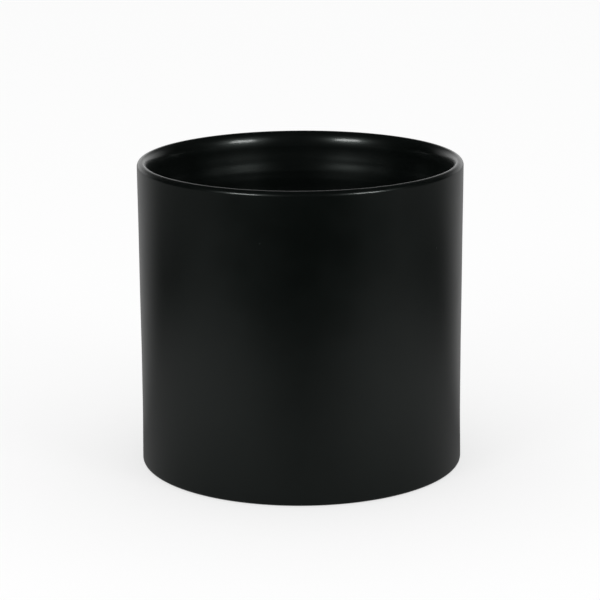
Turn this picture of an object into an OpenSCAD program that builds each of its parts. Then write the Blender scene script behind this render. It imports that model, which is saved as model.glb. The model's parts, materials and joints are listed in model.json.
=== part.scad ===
// Empty candle jar: a straight-sided stoneware vessel with a satin black glaze.
// Millimetres, +Z up. The origin is the centre of the foot, on the surface the jar stands on.

/* [Jar] */
// Outside diameter, measured over the glaze
jar_d = 100; // [80:0.5:120]
// Height from the standing surface to the top of the lip
jar_h = 95; // [70:0.1:130]

/* [Clay] */
// Thickness of the fired clay in the wall
clay_wall = 4.1; // [3:0.1:6]
// Thickness of the fired clay in the floor
clay_floor = 4.2; // [3:0.1:7]
// Radius where the wall meets the floor inside, measured on the glaze
well_corner_r = 5; // [3:0.5:10]

/* [Lip] */
// Radius of the lip's outer round, measured on the glaze
lip_out_r = 1.5; // [1:0.1:2]
// Radius of the lip's inner round, measured on the glaze
lip_in_r = 2.2; // [2:0.1:3]
// Lean of the tapered face inside the lip, from the jar's axis
lip_taper = 4; // [3:0.5:6]

/* [Glaze] */
// Thickness of the fired glaze
glaze_t = 0.25; // [0.15:0.05:0.4]

/* [Foot] */
// Radius of the outside bottom corner, measured on the glaze
foot_corner_r = 0.9; // [0.6:0.1:2]
// Width of the bare ring of clay that the jar stands on
foot_ring_w = 4.8; // [3:0.1:8]
// Depth of the recess inside the foot ring, measured on the clay
recess_depth = 1.4; // [0.8:0.1:2.5]
// How far the recess wall leans inwards on its way up
recess_lean = 1; // [0.5:0.1:2]
// How far the glaze stays above the standing surface
glaze_lift = 0.05; // [0.02:0.01:0.1]
// How far the bare ring is set in from the start of the bottom corner
ring_inset = 0.15; // [0.05:0.05:0.4]
// Width of the bare clay left between the recess wall and the glaze under the floor
wiped_w = 0.6; // [0.3:0.1:2]

/* [Hidden] */
$fn = 180;

jar_r = jar_d / 2;
clay_r = jar_r - glaze_t;
well_clay_r = clay_r - clay_wall;
crest_r = jar_r - lip_out_r;
lip_out_z = jar_h - lip_out_r;
lip_in_z = jar_h - lip_in_r;
floor_clay_z = recess_depth + clay_floor;
corner_mid_r = jar_r - foot_corner_r;
corner_mid_z = foot_corner_r + glaze_lift;
clay_base_z = glaze_lift + glaze_t;
ring_r = corner_mid_r - ring_inset;
recess_r = ring_r - foot_ring_w;
recess_top_r = recess_r - recess_lean;
// Overlap that makes two pieces of one outline join, and a cutter run past what it cuts
over = 1;

clay_tan = [0.70, 0.60, 0.48];
satin_black = [0.045, 0.047, 0.046];

// A rectangle between two corners
module span(r0, z0, r1, z1) {
    translate([r0, z0]) square([r1 - r0, z1 - z0]);
}

// Lip's two rounds, the taper inside it and the wall, with the clay's outline grown outwards by g
module wall_outline(g) {
    in_r = lip_in_r - glaze_t + g;
    bore_r = well_clay_r - g;
    neck_r = crest_r - in_r;
    taper_end_z = lip_in_z - (neck_r - bore_r) / tan(lip_taper);
    polygon([
        [bore_r, corner_mid_z],
        [clay_r + g, corner_mid_z],
        [clay_r + g, lip_out_z],
        [crest_r, lip_out_z],
        [crest_r, lip_in_z],
        [neck_r, lip_in_z],
        [bore_r, taper_end_z]
    ]);
    translate([crest_r, lip_out_z]) circle(lip_out_r - glaze_t + g);
    difference() {
        translate([crest_r, lip_in_z]) circle(in_r);
        span(crest_r, corner_mid_z, jar_r + over, jar_h + over);
    }
}

// Concave corner between the wall and the floor of the well
module well_corner_outline(g) {
    corner_r = well_corner_r + glaze_t - g;
    centre_r = well_clay_r - g - corner_r;
    centre_z = floor_clay_z + g + corner_r;
    difference() {
        span(centre_r, floor_clay_z - over, well_clay_r + over, centre_z);
        translate([centre_r, centre_z]) circle(corner_r);
    }
}

// Floor slab with the rounded outside bottom corner
module floor_outline(g) {
    span(0, clay_base_z - g, corner_mid_r, floor_clay_z + g);
    span(corner_mid_r - over, corner_mid_z, clay_r + g, floor_clay_z + g);
    translate([corner_mid_r, corner_mid_z]) circle(foot_corner_r - glaze_t + g);
}

// Half section of the whole vessel, above the foot ring
module vessel_outline(g) {
    wall_outline(g);
    well_corner_outline(g);
    floor_outline(g);
}

// Half section of the recess under the floor
module recess_outline() {
    polygon([
        [0, -over],
        [recess_r + over * recess_lean / recess_depth, -over],
        [recess_top_r, recess_depth],
        [0, recess_depth]
    ]);
}

// Fired clay: wall, floor and the bare ring the jar stands on
module stoneware_body() {
    color(clay_tan)
    rotate_extrude()
    difference() {
        union() {
            vessel_outline(0);
            span(0, 0, ring_r, clay_base_z + over);
        }
        recess_outline();
    }
}

// Glaze from the foot ring up the outside, round the lip, and down over the well's floor
module glaze_coat() {
    color(satin_black)
    rotate_extrude()
    difference() {
        vessel_outline(glaze_t);
        vessel_outline(0);
        span(0, -over, ring_r, floor_clay_z);
    }
}

// Disc of glaze in the recess, inside the bare foot ring
module underside_glaze() {
    color(satin_black)
    translate([0, 0, recess_depth - glaze_t])
    cylinder(h = glaze_t, r = recess_top_r - wiped_w);
}

stoneware_body();
glaze_coat();
underside_glaze();
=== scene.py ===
"""Looks of an empty candle jar: black satin glaze over stoneware, on a pale studio floor.

The jar is turned from half sections, as a potter's rib would leave it, and every size comes
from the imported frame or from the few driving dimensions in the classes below.
"""
import json
import logging
import math
from collections.abc import Callable
from dataclasses import dataclass
from enum import Enum

import bpy
from mathutils import Matrix, Vector


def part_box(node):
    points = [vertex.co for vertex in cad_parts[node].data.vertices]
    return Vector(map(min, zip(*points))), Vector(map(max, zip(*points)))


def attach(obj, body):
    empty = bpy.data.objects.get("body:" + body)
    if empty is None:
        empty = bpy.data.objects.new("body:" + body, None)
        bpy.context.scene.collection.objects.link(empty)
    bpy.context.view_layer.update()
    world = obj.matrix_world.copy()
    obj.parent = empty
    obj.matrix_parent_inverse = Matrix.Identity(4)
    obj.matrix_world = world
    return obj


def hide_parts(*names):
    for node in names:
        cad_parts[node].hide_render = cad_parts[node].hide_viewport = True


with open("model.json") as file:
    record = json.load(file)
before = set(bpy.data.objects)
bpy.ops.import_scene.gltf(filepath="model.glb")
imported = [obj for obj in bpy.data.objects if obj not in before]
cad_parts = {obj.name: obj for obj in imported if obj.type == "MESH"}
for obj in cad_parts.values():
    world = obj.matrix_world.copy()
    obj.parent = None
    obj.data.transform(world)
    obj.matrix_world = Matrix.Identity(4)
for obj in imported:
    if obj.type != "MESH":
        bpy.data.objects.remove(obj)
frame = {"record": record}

LOG = logging.getLogger("candle_jar")
MM = 0.001
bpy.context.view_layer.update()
Point = tuple[float, float]
Colour = tuple[float, float, float]
Socket = bpy.types.NodeSocket


# ---------------------------------------------------------------- half sections


def smooth_step(share: float) -> float:
    """Eases a share from 0 to 1 with level ends."""
    share = min(1.0, max(0.0, share))
    return share * share * (3 - 2 * share)


class Outline:
    """A half section drawn as points of radius and height, in metres."""

    same_place = 1e-6

    def __init__(self, start: Point) -> None:
        """Starts the outline at one point of radius and height."""
        self.points: list[Point] = [start]

    def add(self, point: Point) -> None:
        """Adds a point, unless it falls on the last one."""
        if math.dist(point, self.points[-1]) > self.same_place:
            self.points.append(point)

    def turned_back(self) -> "Outline":
        """Gives a new outline with the same points from the last to the first."""
        back = Outline(self.points[-1])
        back.points = self.points[::-1]
        return back

    def line_to(self, end: Point, step: float) -> "Outline":
        """Adds a straight stretch.

        Args:
            end: Radius and height where the stretch ends.
            step: Greatest distance between two points.

        Returns:
            The outline itself, so that calls can be chained.
        """
        start = self.points[-1]
        count = max(1, math.ceil(math.dist(start, end) / step))
        for i in range(1, count + 1):
            share = i / count
            self.points.append(tuple(a + (b - a) * share for a, b in zip(start, end)))
        return self

    def arc(self, centre: Point, radii: Point, begin: float, end: float, count: int) -> "Outline":
        """Adds a round stretch, as part of an ellipse.

        Args:
            centre: Radius and height of the ellipse's centre.
            radii: The ellipse's half width and half height.
            begin: Angle of the first point in degrees, from outwards towards up.
            end: Angle of the last point in degrees.
            count: Number of steps.

        Returns:
            The outline itself, so that calls can be chained.
        """
        for i in range(count + 1):
            angle = math.radians(begin + (end - begin) * i / count)
            self.add((centre[0] + radii[0] * math.cos(angle), centre[1] + radii[1] * math.sin(angle)))
        return self

    def wall(
        self, radius: Callable[[float], float], begin: float, end: float, step: float, inset: float
    ) -> "Outline":
        """Adds a wall whose radius follows a rule.

        Args:
            radius: Gives the wall's radius at a height.
            begin: Height where the wall starts.
            end: Height where it ends.
            step: Greatest height between two points.
            inset: Distance added to the radius.

        Returns:
            The outline itself, so that calls can be chained.
        """
        count = max(1, math.ceil(abs(end - begin) / step))
        for i in range(count + 1):
            z = begin + (end - begin) * i / count
            self.add((radius(z) + inset, z))
        return self


# ---------------------------------------------------------------- the potter's bench


class Face(Enum):
    """The faces of the glaze that a surface relief may be limited to."""

    OUTSIDE = "outside"
    WELL = "well"


@dataclass(frozen=True)
class Relief:
    """Cloudy unevenness of one face, in metres, all of it hollow so that a piece never grows."""

    name: str
    face: Face
    cell: Point
    depth: float
    octaves: int = 1


class Bench:
    """Mesh work by hand: outlines drawn point by point, turned, and eased into shape."""

    segments = 240
    weld = 1e-7

    @staticmethod
    def turn(name: str, outline: Outline) -> bpy.types.Object:
        """Draws a half section and turns it into a closed solid round the jar's axis.

        Args:
            name: Name of the new piece.
            outline: Half section that begins and ends on the axis.

        Returns:
            The new piece, with its place in its mesh.
        """
        bpy.ops.object.select_all(action="DESELECT")
        bpy.ops.mesh.primitive_plane_add(size=MM)
        piece = bpy.context.object
        piece.name = piece.data.name = name
        bpy.ops.object.mode_set(mode="EDIT")
        bpy.ops.mesh.select_all(action="SELECT")
        bpy.ops.mesh.merge(type="CENTER")
        start = outline.points[0]
        bpy.ops.transform.translate(value=(start[0], 0, start[1]))
        for here, there in zip(outline.points, outline.points[1:]):
            step = (there[0] - here[0], 0, there[1] - here[1])
            bpy.ops.mesh.extrude_vertices_move(TRANSFORM_OT_translate={"value": step})
        bpy.ops.mesh.select_all(action="SELECT")
        bpy.ops.mesh.spin(steps=Bench.segments, angle=math.tau, center=(0, 0, 0), axis=(0, 0, 1))
        bpy.ops.mesh.select_all(action="SELECT")
        bpy.ops.mesh.remove_doubles(threshold=Bench.weld)
        bpy.ops.mesh.normals_make_consistent(inside=False)
        bpy.ops.object.mode_set(mode="OBJECT")
        bpy.ops.object.shade_smooth()
        return piece

    @staticmethod
    def weigh(piece: bpy.types.Object, face: Face, weight: Callable[[float, float], float]) -> None:
        """Paints a face's vertex group by each point's radius and height.

        Args:
            piece: The piece to paint.
            face: The face whose group it is.
            weight: Function of radius and height that gives 0 to 1.
        """
        group = piece.vertex_groups.new(name=face.value)
        for vertex in piece.data.vertices:
            share = weight(math.hypot(vertex.co.x, vertex.co.y), vertex.co.z)
            if share > 0:
                group.add([vertex.index], share, "REPLACE")

    @staticmethod
    def carve(piece: bpy.types.Object, relief: Relief) -> None:
        """Hollows a face by cloudy noise, and applies it.

        Args:
            piece: The piece to work.
            relief: What to carve, and on which face.
        """
        grid = bpy.data.objects.new(relief.name, None)
        bpy.context.collection.objects.link(grid)
        grid.scale = (relief.cell[0], relief.cell[0], relief.cell[1])
        clouds = bpy.data.textures.new(relief.name, "CLOUDS")
        clouds.noise_scale = 1.0
        clouds.noise_depth = relief.octaves
        clouds.noise_basis = "ORIGINAL_PERLIN"
        displace = piece.modifiers.new(relief.name, "DISPLACE")
        displace.texture = clouds
        displace.texture_coords = "OBJECT"
        displace.texture_coords_object = grid
        displace.vertex_group = relief.face.value
        displace.direction = "NORMAL"
        displace.strength = relief.depth
        displace.mid_level = 1.0
        bpy.context.view_layer.update()
        bpy.ops.object.select_all(action="DESELECT")
        piece.select_set(True)
        bpy.context.view_layer.objects.active = piece
        bpy.ops.object.modifier_apply(modifier=relief.name)
        bpy.data.objects.remove(grid)
        bpy.data.textures.remove(clouds)


# ---------------------------------------------------------------- the jar's section


@dataclass(frozen=True)
class Steps:
    """How finely an outline is drawn: lengths in metres, and steps in each round."""

    wall: float
    well: float
    swell: float
    floor: float
    lip: int
    corner: int


FINE = Steps(wall=1.1 * MM, well=0.5 * MM, swell=0.42 * MM, floor=1.6 * MM, lip=14, corner=8)
COARSE = Steps(wall=6 * MM, well=12 * MM, swell=1.5 * MM, floor=12 * MM, lip=6, corner=4)


def mount(name: str) -> dict:
    """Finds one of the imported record's mounts by its name."""
    return next(m for m in frame["record"]["mounts"] if m["name"] == name)


@dataclass(frozen=True)
class JarSection:
    """Driving sizes of the jar's half section, in metres."""

    outer_r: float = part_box("glaze_coat")[1].x
    height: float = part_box("glaze_coat")[1].z
    glaze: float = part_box("glaze_coat")[1].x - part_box("stoneware_body")[1].x
    glaze_low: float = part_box("glaze_coat")[0].z
    ceiling_z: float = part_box("underside_glaze")[1].z
    underside_r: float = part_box("underside_glaze")[1].x
    well_r: float = mount("mouth")["dims"]["r_mm"] * MM
    lip_out: float = 1.5 * MM
    lip_in: Point = (2.2 * MM, 5.0 * MM)
    swell_top: float = 5.0 * MM
    swell_foot: float = 15.0 * MM
    waist: float = 0.18 * MM
    waist_peak: float = 0.576
    foot_corner: float = 0.9 * MM
    floor_z: float = 5.85 * MM
    well_corner: float = 5.0 * MM
    ring_r: float = 48.95 * MM
    ring_w: float = 4.8 * MM
    ring_round: float = 0.2 * MM
    recess_lean: float = 1.0 * MM

    @property
    def crest_r(self) -> float:
        """Radius of the lip's highest ring."""
        return self.outer_r - self.lip_out

    @property
    def corner_r(self) -> float:
        """Radius where the outside bottom corner starts."""
        return self.outer_r - self.foot_corner

    @property
    def corner_z(self) -> float:
        """Height of the middle of the outside bottom corner."""
        return self.foot_corner + self.glaze_low

    @property
    def lip_base(self) -> float:
        """Height where the outside wall meets the rounded lip."""
        return self.height - self.lip_out

    @property
    def lip_inner_z(self) -> float:
        """Height where the lip's long inner round ends."""
        return self.height - self.lip_in[1]

    @property
    def well_base(self) -> float:
        """Height where the well's straight wall meets the round of its corner."""
        return self.floor_z + self.well_corner

    def outside_r(self, z: float) -> float:
        """Radius of the outside wall at a height, with its faint waist."""
        share = max(0.0, (z - self.corner_z) / (self.lip_base - self.corner_z)) ** self.waist_peak
        return self.outer_r - self.waist * math.sin(math.pi * share) ** 2

    def inside_r(self, z: float) -> float:
        """Radius of the well's wall, which swells towards the lip.

        Args:
            z: Height, below the lip's inner round.

        Returns:
            The radius at that height.
        """
        neck_r = self.crest_r - self.lip_in[0]
        share = (self.height - z - self.swell_top) / (self.swell_foot - self.swell_top)
        return neck_r + (self.well_r - neck_r) * smooth_step(share)

    def face(self, path: Outline, inset: float, steps: Steps) -> None:
        """Draws the glazed face from the foot over the lip to the middle of the well's floor.

        Args:
            path: Outline to add to.
            inset: How deep under the glazed face to draw.
            steps: How finely each stretch is drawn.
        """
        fillet_r = self.well_r - self.well_corner
        corner, lip_out = self.foot_corner - inset, self.lip_out - inset
        lip_in = (self.lip_in[0] - inset, self.lip_in[1] - inset)
        path.arc((self.corner_r, self.corner_z), (corner, corner), -90, 0, steps.corner)
        path.wall(self.outside_r, self.corner_z, self.lip_base, steps.wall, -inset)
        path.arc((self.crest_r, self.lip_base), (lip_out, lip_out), 0, 90, steps.lip)
        path.arc((self.crest_r, self.lip_inner_z), lip_in, 90, 180, 2 * steps.lip)
        path.wall(self.inside_r, self.lip_inner_z, self.height - self.swell_foot, steps.swell, inset)
        path.wall(self.inside_r, self.height - self.swell_foot, self.well_base, steps.well, inset)
        well_corner = self.well_corner + inset
        path.arc((fillet_r, self.well_base), (well_corner, well_corner), 0, -90, 2 * steps.corner)
        path.line_to((0, self.floor_z - inset), steps.floor)


@dataclass
class StonewareBody:
    """The fired clay: one thrown wall and floor, bare only on the foot ring and in its recess."""

    shape: JarSection
    ceiling_step: float = 3 * MM
    ring_step: float = 0.3 * MM
    ring_steps: int = 3
    lean_at_ceiling: float = 0.8
    name: str = "clay_vessel"

    def outline(self) -> Outline:
        """Draws the half section from the recess round the foot and wall to the well's floor.

        Returns:
            The outline, from the axis to the axis.
        """
        s = self.shape
        recess_r = s.ring_r - s.ring_w
        rounding = s.ring_round
        path = Outline((0, s.ceiling_z))
        path.line_to((recess_r - s.recess_lean - rounding, s.ceiling_z), self.ceiling_step)
        shoulder_r = recess_r - s.recess_lean * self.lean_at_ceiling
        path.line_to((shoulder_r, s.ceiling_z - rounding), self.ring_step)
        path.line_to((recess_r, rounding), self.ring_step)
        path.line_to((recess_r + rounding, 0), rounding / 2)
        path.line_to((s.ring_r - rounding, 0), self.ring_step)
        path.arc((s.ring_r - rounding, rounding), (rounding, rounding), -90, 0, self.ring_steps)
        path.line_to((s.ring_r, s.glaze_low + s.glaze), rounding)
        s.face(path, s.glaze, COARSE)
        return path

    def build(self) -> bpy.types.Object:
        """Makes the vessel as one closed solid."""
        return Bench.turn(self.name, self.outline())


@dataclass
class GlazeCoat:
    """The black glaze outside, round the lip and down over the floor of the well."""

    shape: JarSection
    roll: float = 0.1 * MM
    roll_steps: int = 4
    fade: float = 16 * MM
    well_fade: float = 6 * MM
    wobble: Relief = Relief("slow_wobble", Face.OUTSIDE, (34 * MM, 22 * MM), 0.12 * MM)
    throwing: Relief = Relief("throwing_lines", Face.WELL, (60 * MM, 2.6 * MM), 0.16 * MM)
    name: str = "black_coat"

    def outline(self) -> Outline:
        """Draws the coat's half section, with a rolled edge beside the bare foot ring.

        Returns:
            The outline, from the axis under the well's floor to the axis on it.
        """
        s = self.shape
        hidden = Outline((s.ring_r, s.glaze_low + s.glaze))
        s.face(hidden, s.glaze, COARSE)
        path = hidden.turned_back()
        path.line_to((s.ring_r, s.glaze_low + self.roll), s.glaze)
        edge = (s.ring_r + self.roll, s.glaze_low + self.roll)
        path.arc(edge, (self.roll, self.roll), 180, 270, self.roll_steps)
        s.face(path, 0, FINE)
        return path

    def outside_weight(self, r: float, z: float) -> float:
        """Share of the outside's relief: full on the wall, none at the foot and the lip.

        Args:
            r: Radius of the point.
            z: Height of the point.

        Returns:
            The share, from 0 to 1.
        """
        s = self.shape
        if not s.corner_z < z < s.lip_base or r < s.outside_r(z) - s.glaze / 2:
            return 0.0
        return smooth_step((z - s.corner_z) / self.fade) * smooth_step((s.lip_base - z) / self.fade)

    def well_weight(self, r: float, z: float) -> float:
        """Share of the well's relief: full on the wall and floor, none at the lip.

        Args:
            r: Radius of the point.
            z: Height of the point.

        Returns:
            The share, from 0 to 1.
        """
        s = self.shape
        skin_low = s.floor_z - s.glaze / 2
        skin_top = s.floor_z + s.glaze / 2
        if z < skin_low or z > s.lip_inner_z:
            return 0.0
        if z > skin_top and r > s.inside_r(z) + s.glaze / 2:
            return 0.0
        return smooth_step((s.lip_inner_z - z) / self.well_fade)

    def build(self) -> bpy.types.Object:
        """Makes the coat as one closed shell with its soft unevenness.

        Returns:
            The coat.
        """
        piece = Bench.turn(self.name, self.outline())
        Bench.weigh(piece, Face.OUTSIDE, self.outside_weight)
        Bench.weigh(piece, Face.WELL, self.well_weight)
        Bench.carve(piece, self.wobble)
        Bench.carve(piece, self.throwing)
        return piece


@dataclass
class UndersideGlaze:
    """The disc of glaze in the recess, wiped back from the bare ring."""

    shape: JarSection
    hidden_step: float = 12 * MM
    face_step: float = 1.5 * MM
    edge_steps: int = 8
    name: str = "recess_glaze"

    def outline(self) -> Outline:
        """Draws the half section from the recess's ceiling round the rolled edge to the face.

        Returns:
            The outline, from the axis to the axis.
        """
        s = self.shape
        half = s.glaze / 2
        edge = s.underside_r - half
        path = Outline((0, s.ceiling_z))
        path.line_to((edge, s.ceiling_z), self.hidden_step)
        path.arc((edge, s.ceiling_z - half), (half, half), 90, -90, self.edge_steps)
        path.line_to((0, s.ceiling_z - s.glaze), self.face_step)
        return path

    def build(self) -> bpy.types.Object:
        """Makes the disc as one closed solid."""
        return Bench.turn(self.name, self.outline())


# ---------------------------------------------------------------- nodes


class Blend(Enum):
    """What a Mix node mixes, with its first, second and result sockets' places."""

    NUMBER = ("FLOAT", 2, 3, 0)
    COLOUR = ("RGBA", 6, 7, 2)


class Nodes:
    """A node tree that is built one joined step at a time."""

    def __init__(self, tree: bpy.types.NodeTree) -> None:
        """Takes the tree to build in."""
        self.tree = tree

    def add(self, kind: str) -> bpy.types.Node:
        """Adds a node of one kind."""
        return self.tree.nodes.new(kind)

    def join(self, source: Socket, target: Socket) -> None:
        """Links one socket to another."""
        self.tree.links.new(source, target)

    def feed(self, value: Socket | Colour | float, target: Socket) -> None:
        """Gives a socket its value.

        Args:
            value: A socket to link it to, or the colour or number to set it to.
            target: The socket to feed.
        """
        if isinstance(value, Socket):
            self.join(value, target)
        elif isinstance(value, tuple):
            target.default_value = (*value, 1)
        else:
            target.default_value = value

    def ease(self, value: Socket, source: Point, result: Point) -> Socket:
        """Eases a value from one span to another.

        Args:
            value: Socket of the value.
            source: Where the easing begins and ends.
            result: What it gives there.

        Returns:
            The eased value's socket.
        """
        node = self.add("ShaderNodeMapRange")
        node.interpolation_type = "SMOOTHSTEP"
        node.inputs["From Min"].default_value, node.inputs["From Max"].default_value = source
        node.inputs["To Min"].default_value, node.inputs["To Max"].default_value = result
        self.join(value, node.inputs["Value"])
        return node.outputs["Result"]

    def maths(self, operation: str, first: Socket, second: Socket | float) -> Socket:
        """Works out one step with two values.

        Args:
            operation: Name of the Math node's operation.
            first: Socket of the first value.
            second: Socket of the second value, or a number.

        Returns:
            The result's socket.
        """
        node = self.add("ShaderNodeMath")
        node.operation = operation
        self.join(first, node.inputs[0])
        self.feed(second, node.inputs[1])
        return node.outputs["Value"]

    def vector_maths(self, operation: str, first: Socket) -> bpy.types.Node:
        """Works out one step with a vector.

        Args:
            operation: Name of the Vector Math node's operation.
            first: Socket of the first vector.

        Returns:
            The node, whose second vector and results are still free.
        """
        node = self.add("ShaderNodeVectorMath")
        node.operation = operation
        self.join(first, node.inputs[0])
        return node

    def split(self, vector: Socket) -> bpy.types.NodeOutputs:
        """Takes a vector apart into its X, Y and Z sockets."""
        node = self.add("ShaderNodeSeparateXYZ")
        self.join(vector, node.inputs["Vector"])
        return node.outputs

    def mix(
        self, blend: Blend, share: Socket, first: Socket | Colour | float, second: Colour | float
    ) -> Socket:
        """Mixes two numbers or two colours.

        Args:
            blend: Which of the two.
            share: Socket of the second one's share.
            first: The first one, or the socket of it.
            second: The second one.

        Returns:
            The result's socket.
        """
        kind, first_at, second_at, result_at = blend.value
        node = self.add("ShaderNodeMix")
        node.data_type = kind
        self.join(share, node.inputs["Factor"])
        self.feed(first, node.inputs[first_at])
        self.feed(second, node.inputs[second_at])
        return node.outputs[result_at]


# ---------------------------------------------------------------- finishes


@dataclass(frozen=True)
class Spots:
    """Round spots scattered over a surface, in metres; a negative depth makes them hollow."""

    spacing: float
    radius: Point
    share: float
    depth: float = 0.0


class Recipe(Nodes):
    """A material's nodes, made from the piece's own coordinates."""

    def __init__(self, name: str) -> None:
        """Starts a recipe with nothing but the shader.

        Args:
            name: The material's name.
        """
        self.mat = bpy.data.materials.new(name)
        self.mat.use_nodes = True
        super().__init__(self.mat.node_tree)
        self.shader = self.tree.nodes["Principled BSDF"]
        self.place = self.add("ShaderNodeTexCoord").outputs["Object"]

    def stretch(self, cell: Point) -> Socket:
        """Scales the coordinates to a pattern's cells.

        Args:
            cell: Width and height of a cell.

        Returns:
            The scaled coordinates' socket.
        """
        node = self.add("ShaderNodeMapping")
        node.inputs["Scale"].default_value = (1 / cell[0], 1 / cell[0], 1 / cell[1])
        self.join(self.place, node.inputs["Vector"])
        return node.outputs["Vector"]

    def noise(self, cell: Point, detail: float = 2.0) -> Socket:
        """Adds cloudy noise.

        Args:
            cell: Width and height of its cells.
            detail: Levels of finer noise.

        Returns:
            The noise's socket.
        """
        node = self.add("ShaderNodeTexNoise")
        node.inputs["Scale"].default_value = 1.0
        node.inputs["Detail"].default_value = detail
        self.join(self.stretch(cell), node.inputs["Vector"])
        return node.outputs["Fac"]

    def spots(self, spots: Spots) -> Socket:
        """Scatters round spots.

        Args:
            spots: How large they are and how many.

        Returns:
            Socket that is 1 at the spots' middles and 0 between them.
        """
        node = self.add("ShaderNodeTexVoronoi")
        node.inputs["Scale"].default_value = 1.0
        self.join(self.stretch((spots.spacing, spots.spacing)), node.inputs["Vector"])
        inner, outer = (radius / spots.spacing for radius in spots.radius)
        disc = self.ease(node.outputs["Distance"], (inner, outer), (1.0, 0.0))
        pick = self.add("ShaderNodeSeparateColor")
        self.join(node.outputs["Color"], pick.inputs["Color"])
        chosen = self.maths("GREATER_THAN", pick.outputs["Red"], 1 - spots.share)
        return self.maths("MULTIPLY", disc, chosen)

    def emboss(self, layers: list[tuple[Socket, float]]) -> None:
        """Stacks bump layers on the surface.

        Args:
            layers: Socket and depth in metres of each layer, a negative depth for hollows.
        """
        below = None
        for height, depth in layers:
            node = self.add("ShaderNodeBump")
            node.invert = depth < 0
            node.inputs["Distance"].default_value = abs(depth)
            self.join(height, node.inputs["Height"])
            if below:
                self.join(below, node.inputs["Normal"])
            below = node.outputs["Normal"]
        self.join(below, self.shader.inputs["Normal"])


@dataclass(frozen=True)
class SatinGlaze:
    """Black satin glaze: waxy gloss with cloudy patches, wheel lines and a few pinholes.

    The roughness stays above about 0.28, because the renderer's denoiser draws an outline
    round patches that are smoother than that.
    """

    slot: str = "black_glaze"
    black: Colour = (0.0004, 0.0009, 0.0007)
    bloom: Colour = (0.0010, 0.0018, 0.0015)
    roughness: Point = (0.285, 0.33)
    gloss: float = 0.6
    gloss_roughness: float = 0.14
    reflex: Colour = (0.88, 1.0, 0.95)
    cloud: Point = (11 * MM, 11 * MM)
    cloud_span: Point = (0.3, 0.7)
    wheel_line: Point = (30 * MM, 1.3 * MM)
    line_share: float = 0.15
    line_depth: float = 0.0006 * MM
    peel: Point = (1.5 * MM, 1.5 * MM)
    peel_depth: float = 0.0015 * MM
    pimples: Spots = Spots(14 * MM, (0.1 * MM, 0.5 * MM), 0.4, 0.07 * MM)
    pinholes: Spots = Spots(11 * MM, (0.05 * MM, 0.3 * MM), 0.2, -0.06 * MM)

    def material(self) -> bpy.types.Material:
        """Builds the node material.

        Returns:
            The material.
        """
        recipe = Recipe("black_satin_glaze")
        cloud = recipe.noise(self.cloud)
        lines = recipe.noise(self.wheel_line, 1.0)
        peel = recipe.noise(self.peel, 1.0)
        colour = recipe.mix(Blend.COLOUR, cloud, self.black, self.bloom)
        recipe.join(colour, recipe.shader.inputs["Base Color"])
        uneven = recipe.maths("ADD", cloud, recipe.maths("MULTIPLY", lines, self.line_share))
        span = (self.cloud_span[0], self.cloud_span[1] + self.line_share)
        recipe.join(recipe.ease(uneven, span, self.roughness), recipe.shader.inputs["Roughness"])
        recipe.shader.inputs["Specular Tint"].default_value = (*self.reflex, 1)
        recipe.shader.inputs["Coat Weight"].default_value = self.gloss
        recipe.shader.inputs["Coat Roughness"].default_value = self.gloss_roughness
        recipe.emboss([
            (lines, self.line_depth),
            (peel, self.peel_depth),
            (recipe.spots(self.pimples), self.pimples.depth),
            (recipe.spots(self.pinholes), self.pinholes.depth),
        ])
        return recipe.mat


@dataclass(frozen=True)
class BareStoneware:
    """Buff stoneware fired without glaze: matt and sandy, with iron specks."""

    slot: str = "bare_stoneware"
    buff: Colour = (0.50, 0.41, 0.31)
    warm: Colour = (0.38, 0.29, 0.20)
    iron: Colour = (0.09, 0.06, 0.045)
    roughness: Point = (0.78, 0.95)
    blush: Point = (7 * MM, 7 * MM)
    blush_span: Point = (0.35, 0.65)
    sand: Point = (0.35 * MM, 0.35 * MM)
    sand_span: Point = (0.3, 0.7)
    sand_depth: float = 0.04 * MM
    grit: Point = (0.9 * MM, 0.9 * MM)
    grit_depth: float = 0.05 * MM
    specks: Spots = Spots(1.6 * MM, (0.1 * MM, 0.22 * MM), 0.35)

    def material(self) -> bpy.types.Material:
        """Builds the node material.

        Returns:
            The material.
        """
        recipe = Recipe("bare_stoneware")
        blush = recipe.noise(self.blush)
        sand = recipe.noise(self.sand)
        grit = recipe.noise(self.grit, 3.0)
        mixed = recipe.maths("MULTIPLY", recipe.maths("ADD", blush, sand), 0.5)
        warmth = recipe.ease(mixed, self.blush_span, (0.0, 1.0))
        body = recipe.mix(Blend.COLOUR, warmth, self.buff, self.warm)
        specked = recipe.mix(Blend.COLOUR, recipe.spots(self.specks), body, self.iron)
        recipe.join(specked, recipe.shader.inputs["Base Color"])
        recipe.join(recipe.ease(sand, self.sand_span, self.roughness), recipe.shader.inputs["Roughness"])
        recipe.emboss([(grit, self.grit_depth), (sand, self.sand_depth)])
        return recipe.mat


# ---------------------------------------------------------------- studio


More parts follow.
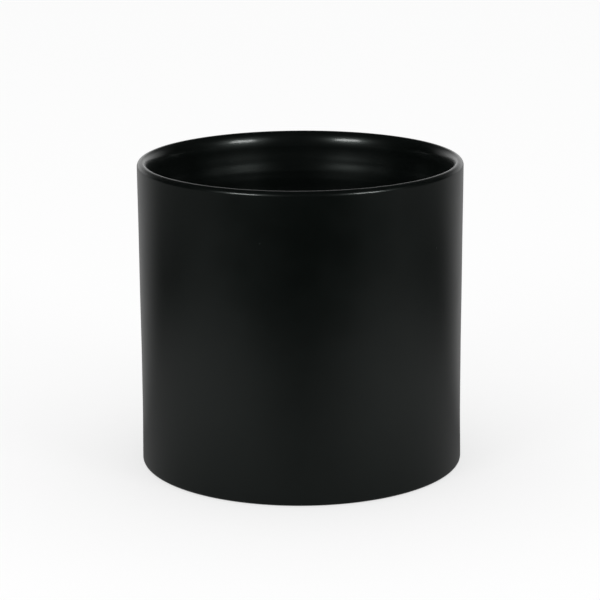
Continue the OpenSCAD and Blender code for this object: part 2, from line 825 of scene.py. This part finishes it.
@dataclass(frozen=True)
class TableMirrored:
    """The table as the glaze sees it: soft pools near the jar, dim wings and a bright back.

    A reach is a distance from the jar in metres, and a turn is the Y part of a direction.
    """

    near_reach: Point = (0.14, 0.31)
    near_light: float = 0.11
    pool_at: Point = (0.17, -0.1)
    pool_reach: Point = (0.02, 0.2)
    pool_light: float = 0.15
    wing_turn: Point = (-0.9, -0.3)
    wing_reach: Point = (0.2, 0.5)
    wing_light: float = 0.11
    back_turn: Point = (0.25, 0.95)
    back_light: float = 0.31

    def light(self, nodes: Nodes, place: Socket) -> Socket:
        """Works out the table's brightness at each place.

        Args:
            nodes: The tree to build in.
            place: Socket of the place on the table.

        Returns:
            The brightness's socket.
        """
        away = nodes.vector_maths("LENGTH", place).outputs["Value"]
        towards = nodes.split(nodes.vector_maths("NORMALIZE", place).outputs["Vector"])["Y"]
        near = nodes.ease(away, self.near_reach, (self.near_light, 0.0))
        near = nodes.maths("ADD", near, self.pools(nodes, place))
        sides = nodes.ease(towards, self.wing_turn, (0.0, self.wing_light))
        wings = nodes.maths("MULTIPLY", sides, nodes.ease(away, self.wing_reach, (0.0, 1.0)))
        front = nodes.maths("ADD", near, wings)
        back = nodes.ease(towards, self.back_turn, (0.0, 1.0))
        return nodes.mix(Blend.NUMBER, back, front, self.back_light)

    def pools(self, nodes: Nodes, place: Socket) -> Socket:
        """Adds the pool of light that each soft box throws beside the jar's front.

        Args:
            nodes: The tree to build in.
            place: Socket of the place on the table.

        Returns:
            The socket of the pools' brightness.
        """
        folded = nodes.split(nodes.vector_maths("ABSOLUTE", place).outputs["Vector"])
        one_side = nodes.add("ShaderNodeCombineXYZ")
        nodes.join(folded["X"], one_side.inputs["X"])
        nodes.join(nodes.split(place)["Y"], one_side.inputs["Y"])
        off = nodes.vector_maths("DISTANCE", one_side.outputs["Vector"])
        off.inputs[1].default_value = (*self.pool_at, 0)
        return nodes.ease(off.outputs["Value"], self.pool_reach, (self.pool_light, 0.0))


@dataclass(frozen=True)
class RoomMirrored:
    """The room as the glaze sees it: lit only low down behind the jar, by parts of a direction."""

    behind_turn: Point = (0.5, 1.0)
    behind_light: float = 0.9
    low_rise: Point = (0.15, 0.45)
    high_share: float = 0.05

    def light(self, nodes: Nodes, direction: Socket) -> Socket:
        """Works out the room's brightness in each direction.

        Args:
            nodes: The tree to build in.
            direction: Socket of the direction.

        Returns:
            The brightness's socket.
        """
        split = nodes.split(direction)
        behind = nodes.ease(split["Y"], self.behind_turn, (0.0, self.behind_light))
        low = nodes.ease(split["Z"], self.low_rise, (1.0, self.high_share))
        return nodes.maths("MULTIPLY", behind, low)


@dataclass
class Studio:
    """White table, two soft boxes, dim surroundings for the glaze to mirror, and the camera."""

    shape: JarSection
    lens: float = 142.6
    sensor: float = 36.0
    camera_elevation: float = 14.57
    camera_distance: float = 7.398
    camera_roll: float = -0.00545
    camera_clip: Point = (0.01, 50.0)
    aim_rise: float = 2.88 * MM
    aim_side: float = -0.28 * MM
    box_azimuth: Point = (-39.0, 47.0)
    box_elevation: float = 20.0
    box_distance: float = 1.2
    box_width: float = 0.38
    box_height: float = 0.18
    box_radiance: float = 11.0
    table_r: float = 3.0
    table_z: float = -0.05 * MM
    table_roughness: float = 0.9
    table_glow: float = 0.6
    paper_white: float = 0.9
    mirrored_r: float = 2.5
    mirrored_z: float = -0.03 * MM
    room_light: float = 1.0
    sheet_sides: int = 128

    def build(self) -> None:
        """Builds the whole stage."""
        self.camera()
        self.table()
        self.table_mirrored()
        for azimuth in self.box_azimuth:
            self.soft_box(azimuth)
        self.world()
        bpy.context.scene.view_settings.view_transform = "Standard"

    def camera(self) -> None:
        """Sets the camera a little above the jar's lip, looking down on it."""
        middle = self.shape.height / 2
        reach = self.camera_distance * 2 * self.shape.outer_r
        angle = math.radians(self.camera_elevation)
        place = Vector((0, -reach * math.cos(angle), middle + reach * math.sin(angle)))
        aim = Vector((self.aim_side, 0, middle + self.aim_rise))
        data = bpy.data.cameras.new("camera")
        data.lens = self.lens
        data.sensor_width = self.sensor
        data.clip_start, data.clip_end = self.camera_clip
        camera = bpy.data.objects.new("camera", data)
        bpy.context.collection.objects.link(camera)
        turn = (aim - place).to_track_quat("-Z", "Y").to_matrix().to_4x4()
        roll = Matrix.Rotation(self.camera_roll, 4, "Z")
        camera.matrix_world = Matrix.Translation(place) @ turn @ roll
        bpy.context.scene.camera = camera

    def sheet(self, name: str, radius: float, height: float) -> bpy.types.Object:
        """Lays one round flat sheet, as part of the stage.

        Args:
            name: Name of the sheet.
            radius: Its radius.
            height: Its height above the surface that the jar stands on.

        Returns:
            The sheet.
        """
        bpy.ops.object.select_all(action="DESELECT")
        bpy.ops.mesh.primitive_circle_add(
            vertices=self.sheet_sides, radius=radius, fill_type="NGON", location=(0, 0, height)
        )
        sheet = bpy.context.object
        sheet.name = name
        return sheet

    def table(self) -> None:
        """Lays the white table, which glows a little so that its shadows stay faint."""
        table = self.sheet("studio_floor", self.table_r, self.table_z)
        mat = bpy.data.materials.new("white_table")
        mat.use_nodes = True
        shader = mat.node_tree.nodes["Principled BSDF"]
        lit = self.paper_white * (1 - self.table_glow)
        shader.inputs["Base Color"].default_value = (lit, lit, lit, 1)
        shader.inputs["Roughness"].default_value = self.table_roughness
        shader.inputs["Specular IOR Level"].default_value = 0
        shader.inputs["Emission Color"].default_value = (1, 1, 1, 1)
        shader.inputs["Emission Strength"].default_value = self.table_glow
        table.data.materials.append(mat)
        table.visible_glossy = False

    def table_mirrored(self) -> None:
        """Lays the card that stands for the table in the glaze's reflections, and nowhere else."""
        card = self.sheet("table_mirrored", self.mirrored_r, self.mirrored_z)
        mat = bpy.data.materials.new("paper_glow")
        mat.use_nodes = True
        mat.node_tree.nodes.clear()
        nodes = Nodes(mat.node_tree)
        out = nodes.add("ShaderNodeOutputMaterial")
        glow = nodes.add("ShaderNodeEmission")
        place = nodes.add("ShaderNodeTexCoord").outputs["Object"]
        nodes.join(TableMirrored().light(nodes, place), glow.inputs["Strength"])
        nodes.join(glow.outputs["Emission"], out.inputs["Surface"])
        card.data.materials.append(mat)
        card.visible_camera = False
        card.visible_diffuse = False
        card.visible_shadow = False
        card.visible_transmission = False

    def soft_box(self, azimuth: float) -> None:
        """Hangs one soft box at the front.

        Args:
            azimuth: Its direction in degrees, from the camera's side towards the right.
        """
        turn, rise = math.radians(azimuth), math.radians(self.box_elevation)
        back = Vector((
            math.sin(turn) * math.cos(rise),
            -math.cos(turn) * math.cos(rise),
            math.sin(rise),
        ))
        data = bpy.data.lights.new(f"soft_box_{azimuth:+.0f}", "AREA")
        data.shape = "RECTANGLE"
        data.size = self.box_width
        data.size_y = self.box_height
        data.energy = self.box_radiance * math.pi * self.box_width * self.box_height
        lamp = bpy.data.objects.new(data.name, data)
        bpy.context.collection.objects.link(lamp)
        lamp.location = back * self.box_distance + Vector((0, 0, self.shape.height / 2))
        lamp.rotation_euler = back.to_track_quat("Z", "Y").to_euler()

    def world(self) -> None:
        """Fills the room with even light, and gives the glaze its own dim surroundings."""
        world = bpy.data.worlds.new("studio")
        bpy.context.scene.world = world
        world.use_nodes = True
        world.node_tree.nodes.clear()
        nodes = Nodes(world.node_tree)
        out = nodes.add("ShaderNodeOutputWorld")
        room = nodes.add("ShaderNodeBackground")
        room.inputs["Strength"].default_value = self.room_light
        room.inputs["Color"].default_value = (1, 1, 1, 1)
        mirrored = nodes.add("ShaderNodeBackground")
        path = nodes.add("ShaderNodeLightPath")
        mix = nodes.add("ShaderNodeMixShader")
        direction = nodes.add("ShaderNodeTexCoord").outputs["Generated"]
        nodes.join(RoomMirrored().light(nodes, direction), mirrored.inputs["Strength"])
        nodes.join(path.outputs["Is Glossy Ray"], mix.inputs[0])
        nodes.join(room.outputs["Background"], mix.inputs[1])
        nodes.join(mirrored.outputs["Background"], mix.inputs[2])
        nodes.join(mix.outputs["Shader"], out.inputs["Surface"])


def main() -> None:
    """Builds the jar's pieces and the studio, in order."""
    logging.basicConfig(level=logging.INFO, format="%(name)s: %(message)s")
    shape = JarSection()
    glaze, clay = SatinGlaze(), BareStoneware()
    black, buff = glaze.material(), clay.material()
    for maker, node, finish, mat in (
        (StonewareBody(shape), "stoneware_body", clay, buff),
        (GlazeCoat(shape), "glaze_coat", glaze, black),
        (UndersideGlaze(shape), "underside_glaze", glaze, black),
    ):
        piece = maker.build()
        piece.data.materials.append(mat)
        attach(piece, "root")
        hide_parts(node)
        LOG.info("%s: %d faces", piece.name, len(piece.data.polygons))
    Studio(shape).build()


if __name__ == "__main__":
    main()
